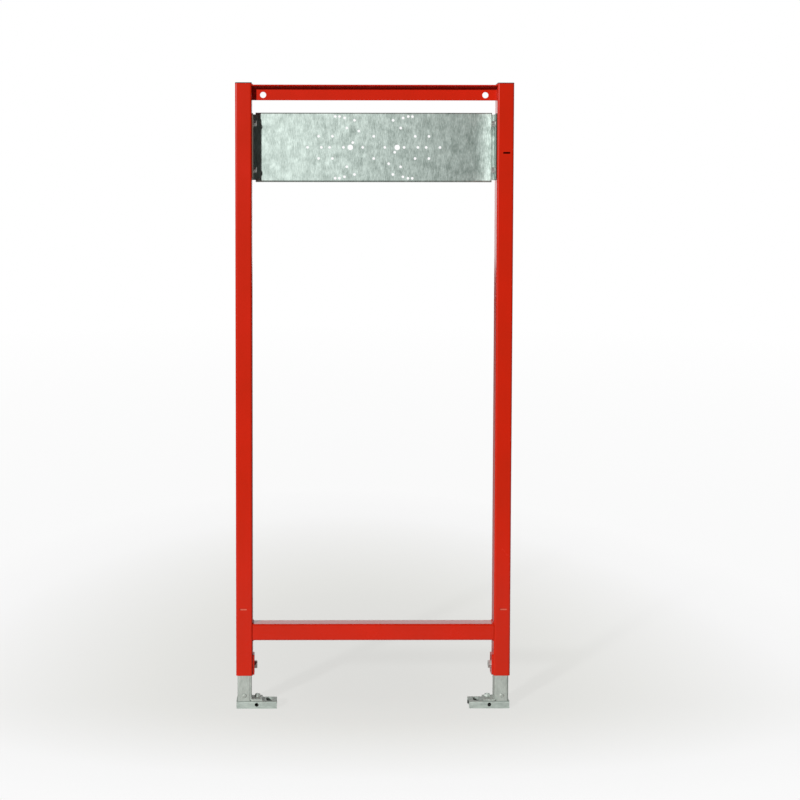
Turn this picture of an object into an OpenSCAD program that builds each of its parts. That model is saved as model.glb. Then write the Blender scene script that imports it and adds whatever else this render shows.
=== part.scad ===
/* [Frame] */
// Width over the two posts
frame_w = 500; // [440:10:700]
// Height of the post tops above the floor, with the legs as shown
frame_h = 1135; // [1000:5:1400]
// Height of the post bottoms above the floor, with the legs as shown
post_lift = 61; // [60:1:120]
// Width of a post, seen from the front
post_w = 30; // [28:1:40]
// Depth of a post, front to back
post_d = 40; // [38:1:50]
// Wall of the posts and of the bottom rail
tube_wall = 2; // [1.5:0.5:3]
// Inside radius of every corner and bend
bend_r = 1.5; // [1:0.5:2]

/* [Post details] */
// Thickness of the rim of a post cap
cap_rim_t = 1.5; // [1:0.5:3]
// Depth to which a cap's plug reaches into the post
cap_plug_h = 12; // [8:1:20]
// Wall of a cap's plug
cap_wall = 1.6; // [1.2:0.2:2]
// Width of a height slot
slot_w = 13; // [8:1:18]
// Height of a height slot
slot_h = 3; // [2:0.5:5]
// Distance of the height slots from a post's centre line, outwards
slot_out = 2; // [0:0.5:4]
// Height of the lower slots above the post bottoms
low_slot_up = 122; // [110:1:160]
// Drop of the upper slot below the post tops
high_slot_drop = 125; // [90:1:200]

/* [Rails] */
// Sheet of the top rail
rail_t = 2; // [1.5:0.5:3]
// Height of the top rail's web
rail_h = 26; // [24:1:40]
// Drop of the top rail below the post tops
rail_drop = 4; // [2:1:20]
// Depth of the web's front face behind the post fronts
rail_web_y = 19; // [14:1:24]
// Setback of the top rail's flange behind the post fronts
rail_setback = 0.5; // [0:0.5:4]
// Diameter of the wall holes in the top rail
wall_hole_d = 11; // [8:0.5:12]
// Distance of the wall holes from the posts' inner faces
wall_hole_in = 20; // [12:1:100]
// Drop of the wall holes below the rail's top edge
wall_hole_drop = 16.5; // [12:0.5:17]
// Height of the bottom rail
low_rail_h = 30; // [20:1:50]
// Height of the bottom rail's underside above the post bottoms
low_rail_up = 65; // [45:1:75]

/* [Mounting plate] */
// Height of the plate
plate_h = 125; // [122:1:160]
// Sheet of the plate
plate_t = 2; // [1.5:0.5:3]
// Drop of the plate's centre below the post tops
plate_drop = 113; // [100:1:200]
// Depth of the plate's front face behind the post fronts
plate_y = 34; // [24:1:34]
// Depth of the stiffening lips, from the front face to their rear edge
lip_d = 6; // [5:0.5:10]
// Distance of the lips' ends from the posts
lip_relief = 6; // [6:1:20]
// Radius of the end flanges' front corners
end_flange_r = 4; // [1:0.5:8]
// Setback of the end flanges' front edges behind the post fronts
end_flange_setback = 4; // [2:0.5:8]
// Distance of the bolts at the plate's ends from its upper and lower edges
plate_bolt_in = 21; // [17:1:32]
// Depth of those bolts behind the post fronts
plate_bolt_y = 19; // [15:0.5:22]

/* [Plate holes] */
// Diameter of the small screw holes
screw_hole_d = 5; // [4:0.5:6]
// Hole circle of a wall elbow's four screws
elbow_ring_d = 40; // [36:1:44]
// Distance between the elbow centres, close pair
elbow_gap_close = 150; // [140:5:160]
// Distance between the elbow centres, wide pair
elbow_gap_wide = 200; // [190:5:220]
// Hole circle of the concealed valve body
valve_ring_d = 120; // [110:2:126]
// Angle of that circle's holes away from the diagonals
valve_ring_spread = 9.4; // [6:0.2:14]
// Hole circle of the four outer corner holes of the valve pattern
valve_corner_d = 150; // [146:2:156]
// Distance of the edge holes from the plate's upper and lower edges
edge_hole_in = 6.9; // [6:0.1:11]
// Distances of the edge holes from the plate's centre line
edge_hole_x = [62.2, 69.9]; // [58:0.1:76]
// Hole circles of the two tilted pairs
tilted_ring_d = [80, 78]; // [76:0.5:84]
// Angles of the two tilted pairs
tilted_angle = [132.6, 167.2]; // [120:0.1:170]
// Diameter of the two wide holes
wide_hole_d = 10; // [7:0.5:11]
// Spacing of the two wide holes
wide_hole_gap = 85; // [82:1:92]

/* [Legs] */
// Length of a leg above its foot
leg_len = 326; // [300:1:400]
// Sheet of the leg's channel
leg_t = 2; // [1.5:0.5:3]
// Thickness of the flat bar that closes the channel
bar_t = 3; // [2:0.5:4]
// Running gap between leg and post on every side
leg_gap = 0.4; // [0.3:0.1:0.6]
// Length of the bar's bent tab on the foot
tab_len = 20; // [17:1:21]
// Distance of the leg's screw stud from the bar
stud_x = 11; // [9:0.5:11]
// Depth of the screw stud behind the post fronts
stud_y = 26; // [16:1:28]

/* [Feet] */
// Length of a foot
foot_len = 73.5; // [70:0.5:100]
// Depth of a foot, front to back
foot_d = 38; // [36:1:40]
// Height of a foot
foot_h = 13.5; // [12:0.5:20]
// Sheet of a foot
foot_t = 2; // [1.5:0.5:3]
// Setback of a foot's outer end behind the post's outer face
foot_setback = 0.5; // [0:0.5:2]
// Diameter of the side holes through a foot
side_hole_d = 7; // [5:0.5:7]
// Height of the side holes above the floor
side_hole_z = 7; // [5:0.5:7]
// Width of the floor slot in a foot
floor_slot_w = 11; // [8:0.5:12]
// Length of the floor slot, front to back
floor_slot_len = 27; // [18:1:28]
// Distance of the floor slot from a foot's inner end
floor_slot_in = 14; // [10:0.5:14]
// Width of the tongues that stand up inside a leg
tongue_w = 14; // [10:1:15]
// Height of the tongues above a foot's top
tongue_h = 15; // [14:0.5:16]
// Height of the rivets above a foot's top
rivet_up = 10; // [8:0.5:10]

/* [Fasteners] */
// Diameter of the clamp bolts
clamp_d = 8; // [6:1:10]
// Height of the clamp bolts above the post bottoms
clamp_up = 17; // [14:0.5:20]
// Gap between a clamp bolt's tip and the leg
clamp_gap = 0.3; // [0.2:0.1:0.3]
// Thickness of the welded clamp plates
clamp_plate_t = 3; // [2:0.5:4]
// Height of the clamp plates
clamp_plate_h = 37; // [34:1:44]
// Width of the clamp plates, front to back
clamp_plate_w = 30; // [22:1:32]
// Diameter of the plate bolts
plate_bolt_d = 6; // [5:0.5:8]
// Length of a plate bolt under its head
plate_bolt_len = 16; // [10:1:20]
// Diameter of the screw studs in the feet
stud_d = 6; // [5:0.5:6]
// Diameter of the rivet shanks
rivet_d = 4.8; // [4:0.2:5]
// Width across flats of a screw head, as a share of its thread
flats_per_d = 1.64; // [1.6:0.01:1.7]
// Height of a screw head, as a share of its thread
head_per_d = 0.66; // [0.6:0.01:0.8]

/* [Hidden] */
$fn = 64;
eps = 0.01;

// Bays between the posts, and the tube's cavity
bay_w = frame_w - 2 * post_w;
post_x = frame_w / 2 - post_w / 2;
post_len = frame_h - post_lift - cap_rim_t;
tube_r = bend_r + tube_wall;

// Heights above the floor
rail_top = frame_h - rail_drop;
wall_hole_z = rail_top - wall_hole_drop;
low_rail_z = post_lift + low_rail_up;
plate_z = frame_h - plate_drop;
plate_bolt_zs = [1, -1] * (plate_h / 2 - plate_bolt_in);
wall_hole_x = bay_w / 2 - wall_hole_in;

// The plate's end flanges are as high as its flat between the bends of the lips
end_flange_h = plate_h - 2 * (plate_t + bend_r);
end_flange_reach = plate_y + plate_t - end_flange_setback;
low_slot_z = post_lift + low_slot_up;
high_slot_z = frame_h - high_slot_drop;
clamp_z = post_lift + clamp_up;

// The leg fills the post's cavity apart from the running gap
leg_w = post_w - 2 * (tube_wall + leg_gap);
leg_d = post_d - 2 * (tube_wall + leg_gap);
channel_w = leg_w - bar_t;
// The bar spans the flat of the post's inner face, off its round corners
bar_d = post_d - 2 * (tube_wall + bend_r);
leg_bar_x = post_x - leg_w / 2;
leg_top = foot_h + leg_len;

// The foot, measured towards the middle of the frame
foot_out = frame_w / 2 - foot_setback;
foot_in = foot_out - foot_len;
stud_at = leg_bar_x - stud_x;
stud_head_h = 0.8 * stud_d;

// Head of a plate bolt: a hexagon on a round flange
bolt_flange_t = 1.8;
bolt_flange_d = 2.3 * plate_bolt_d;
bolt_hex_h = 0.8 * plate_bolt_d;
rivet_head_d = 1.65 * rivet_d;
rivet_head_h = 0.32 * rivet_d;

// The origin: the back of the top rail's web, midway between the wall holes
datum_y = rail_web_y + rail_t;
datum_z = wall_hole_z;

RED = "#c8321a";
ZINC = "#a9b0ab";
BOLT = "#8b8f90";
CAP = "#2a2a2c";

// Moves a piece from the floor under the post fronts to the part's origin
module at_datum() {
    translate([0, -datum_y, -datum_z]) children();
}

// Right-hand pieces are built at +X and the left-hand ones are their mirror image
module on_side(side) {
    at_datum() mirror([side < 0 ? 1 : 0, 0, 0]) children();
}

// Rectangle with true round corners, centred
module round_rect(size, r) {
    square([size[0] - 2 * r, size[1]], center = true);
    square([size[0], size[1] - 2 * r], center = true);
    for (x = [-1, 1], y = [-1, 1])
        translate([x * (size[0] / 2 - r), y * (size[1] / 2 - r)]) circle(r);
}

// Section of a rectangular tube, centred
module tube_section(size, wall) {
    difference() {
        round_rect(size, bend_r + wall);
        round_rect([size[0] - 2 * wall, size[1] - 2 * wall], bend_r);
    }
}

// Section of a sheet bent to a U: its back at x = 0, its open side at x = reach
module u_section(reach, depth, sheet) {
    intersection() {
        translate([reach, 0]) tube_section([2 * reach, depth], sheet);
        translate([0, -depth / 2]) square([reach, depth]);
    }
}

// Section of a sheet bent to an L, with its corner at the origin
module l_section(reach_x, reach_y, sheet) {
    intersection() {
        translate([reach_x, reach_y]) tube_section([2 * reach_x, 2 * reach_y], sheet);
        square([reach_x, reach_y]);
    }
}

// Turns a drawing so that it is extruded along +X, with its own x as depth and y as height
module along_x(length) {
    rotate([90, 0, 90]) linear_extrude(length) children();
}

// Straight bore or shank along +X from the origin
module rod_x(d, length) {
    rotate([0, 90, 0]) cylinder(d = d, h = length);
}

// Straight bore or shank along +Y from the origin
module rod_y(d, length) {
    rotate([-90, 0, 0]) cylinder(d = d, h = length);
}

// Hexagonal head for a thread, along +Z from the origin
module hex_head(thread_d, height) {
    flats = flats_per_d * thread_d;
    intersection() {
        cylinder(d = flats / cos(30), h = height, $fn = 6);
        // The corners are turned down to a cone at the top
        cylinder(d1 = flats / cos(30) + 2 * height, d2 = 0.96 * flats, h = height);
    }
}

// Window through a post's front wall, under which the leg or the mark shows
module height_slot(z) {
    translate([post_x + slot_out, -eps, z]) rotate([-90, 0, 0])
        linear_extrude(tube_wall + 2 * eps)
            round_rect([slot_w, slot_h], 0.4 * slot_h);
}

// Bores through a post's inner wall for the bolts that hold the plate
module plate_bolt_bores(d, x0, length) {
    for (z = plate_bolt_zs) translate([x0, plate_bolt_y, plate_z + z]) rod_x(d, length);
}

module post(side) {
    color(RED) on_side(side) difference() {
        translate([post_x, post_d / 2, post_lift])
            linear_extrude(post_len) tube_section([post_w, post_d], tube_wall);
        height_slot(low_slot_z);
        if (side > 0) height_slot(high_slot_z);
        plate_bolt_bores(plate_bolt_d, bay_w / 2 - eps, tube_wall + 2 * eps);
        translate([bay_w / 2 - eps, post_d / 2, clamp_z]) rod_x(clamp_d, tube_wall + 2 * eps);
    }
}

// Plastic cap: a rim on the end of the tube and a hollow plug inside it
module post_cap(side) {
    plug = [post_w - 2 * tube_wall, post_d - 2 * tube_wall];
    color(CAP) on_side(side) translate([post_x, post_d / 2, post_lift + post_len]) {
        linear_extrude(cap_rim_t) round_rect([post_w, post_d], tube_r);
        translate([0, 0, -cap_plug_h]) linear_extrude(cap_plug_h) difference() {
            round_rect(plug, bend_r);
            round_rect(plug - 2 * [cap_wall, cap_wall], bend_r);
        }
    }
}

// Upright web with the two wall holes, and a flange that comes forward over it
module top_rail() {
    color(RED) at_datum() difference() {
        translate([-bay_w / 2, datum_y, rail_top]) mirror([0, 1, 0]) mirror([0, 0, 1])
            along_x(bay_w) l_section(datum_y - rail_setback, rail_h, rail_t);
        for (x = [-1, 1])
            translate([x * wall_hole_x, rail_web_y - eps, wall_hole_z])
                rod_y(wall_hole_d, rail_t + 2 * eps);
    }
}

module bottom_rail() {
    color(RED) at_datum() translate([-bay_w / 2, post_d / 2, low_rail_z + low_rail_h / 2])
        along_x(bay_w) tube_section([post_d, low_rail_h], tube_wall);
}

// One small screw hole at a place on the plate, seen from the front
module screw_hole(x, z, d = screw_hole_d) {
    translate([x, plate_y - eps, plate_z + z]) rod_y(d, plate_t + 2 * eps);
}

// Screw hole at a radius and an angle from a centre on the plate
module polar_hole(ring_d, angle, x = 0) {
    screw_hole(x + ring_d / 2 * cos(angle), ring_d / 2 * sin(angle));
}

module plate_holes() {
    // Four screws for each place of a wall elbow
    for (x = [-elbow_gap_wide, -elbow_gap_close, 0, elbow_gap_close, elbow_gap_wide] / 2)
        for (angle = [0:90:270]) polar_hole(elbow_ring_d, angle, x);
    // Concealed valve bodies
    for (quarter = [0:90:270]) {
        for (turn = [-1, 1]) polar_hole(valve_ring_d, quarter + 45 + turn * valve_ring_spread);
        polar_hole(valve_corner_d, quarter + 45);
    }
    for (side = [-1, 1], z = [-1, 1], x = edge_hole_x)
        screw_hole(side * x, z * (plate_h / 2 - edge_hole_in));
    for (pair = [0, 1], turn = [0, 180])
        polar_hole(tilted_ring_d[pair], tilted_angle[pair] + turn);
    for (side = [-1, 1]) screw_hole(side * wide_hole_gap / 2, 0, wide_hole_d);
}

// Flange that comes forward along a post, with round front corners
module end_flange() {
    intersection() {
        translate([bay_w / 2, plate_y + plate_t, plate_z - end_flange_h / 2])
            linear_extrude(end_flange_h) mirror([1, 0]) mirror([0, 1])
                l_section(lip_relief, end_flange_reach, plate_t);
        translate([0, plate_y + plate_t, plate_z])
            along_x(bay_w) round_rect([2 * end_flange_reach, end_flange_h], end_flange_r);
    }
}

// Sheet between the posts: end flanges come forward, and lips along the edges go back
module mounting_plate() {
    lip_x = bay_w / 2 - lip_relief;
    color(ZINC) at_datum() difference() {
        union() {
            for (side = [-1, 1]) mirror([side < 0 ? 1 : 0, 0, 0]) end_flange();
            translate([-lip_x, plate_y, plate_z])
                along_x(2 * lip_x) u_section(lip_d, plate_h, plate_t);
        }
        plate_holes();
        for (side = [-1, 1])
            mirror([side < 0 ? 1 : 0, 0, 0])
                plate_bolt_bores(plate_bolt_d, bay_w / 2 - plate_t - eps, plate_t + 2 * eps);
    }
}

// Hexagon screw with a round flange, driven outwards through the plate into the post
module plate_bolt(side, row) {
    color(BOLT) on_side(side)
        translate([bay_w / 2 - plate_t, plate_bolt_y, plate_z + plate_bolt_zs[row]]) {
            rod_x(plate_bolt_d, plate_bolt_len);
            rotate([0, -90, 0]) {
                cylinder(d = bolt_flange_d, h = bolt_flange_t);
                translate([0, 0, bolt_flange_t]) hex_head(plate_bolt_d, bolt_hex_h);
            }
        }
}

// Plate welded to the inner face of a post's foot, to carry the clamp bolt
module clamp_plate(side) {
    color(RED) on_side(side) difference() {
        translate([bay_w / 2 - clamp_plate_t, post_d / 2, post_lift + clamp_plate_h / 2])
            rotate([0, 90, 0]) linear_extrude(clamp_plate_t)
                round_rect([clamp_plate_h, clamp_plate_w], clamp_plate_t);
        translate([bay_w / 2 - clamp_plate_t - eps, post_d / 2, clamp_z])
            rod_x(clamp_d, clamp_plate_t + 2 * eps);
    }
}

// Hexagon screw through the clamp plate, with its tip just off the leg's bar
module clamp_bolt(side) {
    head_x = bay_w / 2 - clamp_plate_t;
    color(BOLT) on_side(side) translate([head_x, post_d / 2, clamp_z]) {
        rod_x(clamp_d, leg_bar_x - clamp_gap - head_x);
        rotate([0, -90, 0]) hex_head(clamp_d, head_per_d * clamp_d);
    }
}

// Channel with its back to the outside, riveted to the foot's tongues
module leg_channel(side) {
    color(ZINC) on_side(side) difference() {
        translate([leg_bar_x + leg_w, post_d / 2, foot_h]) linear_extrude(leg_len)
            mirror([1, 0]) u_section(channel_w, leg_d, leg_t);
        rivet_bores();
    }
}

// Bores for the front and back rivets
module rivet_bores() {
    translate([post_x, (post_d - leg_d) / 2 - eps, foot_h + rivet_up])
        rod_y(rivet_d, leg_d + 2 * eps);
}

// Flat bar that closes the channel and is bent at the foot to a tab
module leg_bar(side) {
    color(ZINC) on_side(side) difference() {
        translate([leg_bar_x + bar_t, (post_d + bar_d) / 2, foot_h]) rotate([90, 0, 0])
            linear_extrude(bar_d) mirror([1, 0]) l_section(bar_t + tab_len, leg_len, bar_t);
        translate([stud_at, stud_y, foot_h - eps]) cylinder(d = stud_d, h = bar_t + 2 * eps);
    }
}

// Sheet folded down at the front and the back, with two tongues bent up into the leg
module foot(side) {
    tongue_y = (post_d - leg_d) / 2 + leg_t;
    window_d = leg_d - 2 * leg_t - 2 * foot_t;
    color(ZINC) on_side(side) difference() {
        union() {
            translate([foot_in, post_d / 2, foot_h]) along_x(foot_len)
                rotate(-90) u_section(foot_h, foot_d, foot_t);
            for (turn = [0, 180])
                translate([post_x, post_d / 2, foot_h - foot_t]) rotate(turn)
                    translate([-tongue_w / 2, tongue_y - post_d / 2, 0])
                        cube([tongue_w, foot_t, foot_t + tongue_h]);
        }
        translate([post_x, post_d / 2, foot_h - foot_t / 2])
            cube([tongue_w, window_d, foot_t + 2 * eps], center = true);
        rivet_bores();
        translate([stud_at, stud_y, foot_h - foot_t - eps])
            cylinder(d = stud_d, h = foot_t + 2 * eps);
        translate([foot_in + floor_slot_in, post_d / 2, foot_h - foot_t - eps])
            linear_extrude(foot_t + 2 * eps)
                round_rect([floor_slot_w, floor_slot_len], floor_slot_w / 2 - eps);
        translate([foot_out - foot_len / 2, (post_d - foot_d) / 2 - eps, side_hole_z])
            rod_y(side_hole_d, foot_d + 2 * eps);
    }
}

// Dome rivets through the leg and the tongues, at the front and at the back
module foot_rivets(side) {
    grip = leg_t + foot_t;
    color(ZINC) on_side(side) translate([post_x, post_d / 2, foot_h + rivet_up])
        for (turn = [0, 180]) rotate(turn) translate([0, -leg_d / 2, 0]) rotate([-90, 0, 0]) {
            cylinder(d = rivet_d, h = grip);
            translate([0, 0, grip]) cylinder(d = 1.3 * rivet_d, h = rivet_head_h);
            rotate([180, 0, 0]) rivet_dome();
        }
}

// Shallow dome over a flat round base
module rivet_dome() {
    base_r = rivet_head_d / 2;
    ball_r = (base_r * base_r + rivet_head_h * rivet_head_h) / (2 * rivet_head_h);
    intersection() {
        translate([0, 0, rivet_head_h - ball_r]) sphere(ball_r);
        cylinder(r = base_r + eps, h = rivet_head_h + eps);
    }
}

// Stud pressed flush into the foot's top, up through the bar's tab
module foot_stud(side) {
    color(BOLT) on_side(side) translate([stud_at, stud_y, foot_h - foot_t])
        cylinder(d = stud_d, h = foot_t + bar_t + stud_head_h + 1);
}

module foot_nut(side) {
    color(BOLT) on_side(side) translate([stud_at, stud_y, foot_h + bar_t]) difference() {
        hex_head(stud_d, stud_head_h);
        translate([0, 0, -eps]) cylinder(d = stud_d, h = stud_head_h + 2 * eps);
    }
}

post(-1);  // post_left
post(1);  // post_right
post_cap(-1);  // post_cap_left
post_cap(1);  // post_cap_right
top_rail();
bottom_rail();
mounting_plate();
plate_bolt(-1, 0);  // plate_bolt_left_upper
plate_bolt(-1, 1);  // plate_bolt_left_lower
plate_bolt(1, 0);  // plate_bolt_right_upper
plate_bolt(1, 1);  // plate_bolt_right_lower
clamp_plate(-1);  // clamp_plate_left
clamp_plate(1);  // clamp_plate_right
clamp_bolt(-1);  // clamp_bolt_left
clamp_bolt(1);  // clamp_bolt_right
leg_channel(-1);  // leg_channel_left
leg_channel(1);  // leg_channel_right
leg_bar(-1);  // leg_bar_left
leg_bar(1);  // leg_bar_right
foot(-1);  // foot_left
foot(1);  // foot_right
foot_rivets(-1);  // foot_rivets_left
foot_rivets(1);  // foot_rivets_right
foot_stud(-1);  // foot_stud_left
foot_stud(1);  // foot_stud_right
foot_nut(-1);  // foot_nut_left
foot_nut(1);  // foot_nut_right
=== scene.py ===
"""Looks of a shower controls installation frame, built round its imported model.

The frame is a red powder-coated weldment with a galvanized mounting plate near
its top and two galvanized legs that slide in its posts. Everything is in
metres in the model's own axes: +X to the right, +Y towards the wall, +Z up.
"""
import logging
import math
from collections.abc import Callable, Iterable, Sequence
from dataclasses import dataclass, field
from enum import Enum
from typing import Any

import bmesh
import bpy
from mathutils import Euler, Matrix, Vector


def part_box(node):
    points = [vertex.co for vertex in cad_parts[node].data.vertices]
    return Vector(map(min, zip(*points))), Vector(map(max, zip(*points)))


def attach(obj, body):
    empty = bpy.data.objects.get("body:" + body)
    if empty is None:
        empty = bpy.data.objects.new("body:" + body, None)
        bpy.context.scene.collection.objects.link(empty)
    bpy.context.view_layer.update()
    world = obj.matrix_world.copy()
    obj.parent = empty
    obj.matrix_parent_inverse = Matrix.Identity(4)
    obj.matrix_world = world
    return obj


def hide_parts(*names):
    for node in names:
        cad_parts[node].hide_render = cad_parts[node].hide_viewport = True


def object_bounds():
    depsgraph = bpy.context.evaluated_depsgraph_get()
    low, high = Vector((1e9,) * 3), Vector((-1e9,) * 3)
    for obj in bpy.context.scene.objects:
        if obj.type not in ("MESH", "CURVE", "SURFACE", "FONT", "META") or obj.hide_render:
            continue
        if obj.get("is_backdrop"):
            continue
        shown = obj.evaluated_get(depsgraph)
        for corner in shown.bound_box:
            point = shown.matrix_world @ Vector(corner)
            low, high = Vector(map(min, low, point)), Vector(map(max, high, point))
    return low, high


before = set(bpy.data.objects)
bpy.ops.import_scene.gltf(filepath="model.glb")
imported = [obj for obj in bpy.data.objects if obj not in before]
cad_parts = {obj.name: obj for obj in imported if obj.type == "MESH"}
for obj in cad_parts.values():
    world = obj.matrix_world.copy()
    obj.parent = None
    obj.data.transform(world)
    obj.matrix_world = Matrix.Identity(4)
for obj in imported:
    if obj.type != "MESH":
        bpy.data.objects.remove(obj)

log = logging.getLogger("installation_frame")

MM = 0.001
FRAME_BODY = "frame"
QUARTER_TURN = math.pi / 2
ROUND = 48  # sides of a round form
SMALL_ROUND = 32  # sides of a small round form
NOISE_RANGE = (0.3, 0.7)  # where most values of a noise texture lie

Colour = tuple[float, float, float, float]
Node = bpy.types.Node
Socket = bpy.types.NodeSocket
Piece = bpy.types.Object


class Side(Enum):
    """Left or right of the frame, seen from the front."""

    LEFT = "left"
    RIGHT = "right"

    @property
    def sign(self) -> int:
        """Direction of this side along the X axis."""
        return -1 if self is Side.LEFT else 1

    @property
    def leg(self) -> str:
        """Name of the moving body of this side's leg."""
        return f"{self.value}_leg"


class Slot(Enum):
    """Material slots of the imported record."""

    RED = "red_paint"
    ZINC = "zinc_sheet"
    BOLT = "bolt_steel"
    CAP = "cap_plastic"


class Graph:
    """A new material or world with short calls that add and join its shader nodes."""

    def __init__(self, holder: bpy.types.Material | bpy.types.World) -> None:
        """Empties the holder's node tree.

        Args:
            holder: Material or world whose nodes are built.
        """
        holder.use_nodes = True
        self.tree = holder.node_tree
        self.tree.nodes.clear()

    def add(self, kind: str, inputs: dict[str, Any] | None = None, **settings: Any) -> Node:
        """Adds a shader node.

        Args:
            kind: Node type without its ShaderNode prefix.
            inputs: Values, or sockets to link, by the name of the input.
            settings: Properties of the node itself.

        Returns:
            The new node.
        """
        node = self.tree.nodes.new("ShaderNode" + kind)
        for key, value in settings.items():
            setattr(node, key, value)
        for key, value in (inputs or {}).items():
            if isinstance(value, Socket):
                self.tree.links.new(value, node.inputs[key])
            else:
                node.inputs[key].default_value = value
        return node

    def place(
            self, scale: Sequence[float] = (1, 1, 1),
            centre: Sequence[float] = (0, 0, 0)) -> Socket:
        """Object coordinates, moved and stretched.

        Args:
            scale: Factor along each axis; a small one stretches a pattern.
            centre: Point that becomes the pattern's origin.

        Returns:
            The mapped vector socket.
        """
        spot = self.add("TexCoord").outputs["Object"]
        moved = self.add("VectorMath", {0: spot, 1: tuple(centre)}, operation="SUBTRACT")
        return self.add("Mapping", {"Vector": moved.outputs[0], "Scale": tuple(scale)}).outputs[0]

    def noise(
            self, vector: Socket, scale: float, detail: float = 3.0,
            roughness: float = 0.5) -> Socket:
        """Noise texture.

        Args:
            vector: Coordinates of the pattern.
            scale: Repeats per metre.
            detail: Number of finer layers.
            roughness: Weight of the finer layers.

        Returns:
            The factor socket.
        """
        values = {"Vector": vector, "Scale": scale, "Detail": detail, "Roughness": roughness}
        return self.add("TexNoise", values).outputs[0]

    def span(
            self, value: Socket, low: float, high: float,
            start: float = 0.0, end: float = 1.0) -> Socket:
        """Maps a value that runs from start to end onto low to high, clamped."""
        limits = {"From Min": start, "From Max": end, "To Min": low, "To Max": high}
        return self.add("MapRange", {"Value": value, **limits}).outputs[0]

    def math(self, operation: str, first: Any, second: Any = 0.0) -> Socket:
        """Joins two values by an operation of the Math node."""
        return self.add("Math", {0: first, 1: second}, operation=operation).outputs[0]

    def ramp(self, factor: Socket, stops: Sequence[tuple[float, Colour]]) -> Socket:
        """Colour ramp.

        Args:
            factor: Value that picks the colour.
            stops: Position and colour of each stop, in order.

        Returns:
            The colour socket.
        """
        node = self.add("ValToRGB", {"Fac": factor})
        elements = node.color_ramp.elements
        while len(elements) < len(stops):
            elements.new(0.5)
        for element, (position, colour) in zip(elements, stops):
            element.position = position
            element.color = colour
        return node.outputs[0]

    def xyz(self) -> Any:
        """The three Object coordinates, as sockets named X, Y and Z."""
        return self.add("SeparateXYZ", {"Vector": self.place()}).outputs

    def blend(self, share: Socket, under: Socket, over: Colour) -> Socket:
        """Covers a colour with another by a share."""
        values = {"Fac": share, "Color1": under, "Color2": over}
        return self.add("MixRGB", values).outputs[0]

    def bump(
            self, height: Socket, depth: float, strength: float = 0.5,
            under: Socket | None = None) -> Socket:
        """Bump from a height.

        Args:
            height: Height, as a share of the depth.
            depth: Distance in metres that a height of 1 stands for.
            strength: Share of the bump that shows.
            under: Earlier bump that this one lies on, if any.

        Returns:
            The normal socket.
        """
        values = {"Height": height, "Distance": depth, "Strength": strength}
        if under is not None:
            values["Normal"] = under
        return self.add("Bump", values).outputs[0]

    def surface(self, shader: Node) -> None:
        """Links a shader to the output."""
        is_world = isinstance(self.tree.id_data, bpy.types.World)
        self.add("OutputWorld" if is_world else "OutputMaterial", {"Surface": shader.outputs[0]})


@dataclass(frozen=True)
class Finish:
    """A surface finish that makes one procedural material."""

    name: str

    def nodes(self, graph: Graph) -> Node:
        """Builds the finish's shader, which each kind of finish defines."""
        raise NotImplementedError

    def material(self) -> bpy.types.Material:
        """Material of this finish, made at its first use.

        Returns:
            The material.
        """
        made = bpy.data.materials.get(self.name)
        if made is None:
            made = bpy.data.materials.new(self.name)
            graph = Graph(made)
            graph.surface(self.nodes(graph))
        return made


@dataclass(frozen=True)
class PowderCoat(Finish):
    """Glossy powder coat with a fine orange peel and faint uneven depth."""

    thin: Colour = (0.54, 0.018, 0.004, 1.0)
    full: Colour = (0.63, 0.015, 0.002, 1.0)
    cloud_scale: float = 9.0
    cloud_range: tuple[float, float] = (0.25, 0.75)
    peel_scale: float = 520.0
    peel_depth: float = 0.05 * MM
    peel_strength: float = 0.6
    roughness: tuple[float, float] = (0.22, 0.28)
    ior: float = 1.32
    coat: float = 0.3
    coat_roughness: float = 0.15

    def nodes(self, graph: Graph) -> Node:
        """Red under a clear gloss; clouds shift the red and the gloss a little.

        Args:
            graph: Node tree of the material.

        Returns:
            The shader.
        """
        spot = graph.place()
        clouds = graph.noise(spot, self.cloud_scale, detail=5.0, roughness=0.6)
        grain = graph.noise(spot, self.peel_scale, detail=2.0)
        build_up = graph.span(clouds, 0.0, 1.0, *self.cloud_range)
        return graph.add("BsdfPrincipled", {
            "Base Color": graph.ramp(build_up, ((0.0, self.thin), (1.0, self.full))),
            "Roughness": graph.span(clouds, *self.roughness, *NOISE_RANGE),
            "IOR": self.ior,
            "Coat Weight": self.coat,
            "Coat Roughness": self.coat_roughness,
            "Coat IOR": self.ior,
            "Normal": graph.bump(grain, self.peel_depth, self.peel_strength),
        })


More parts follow.
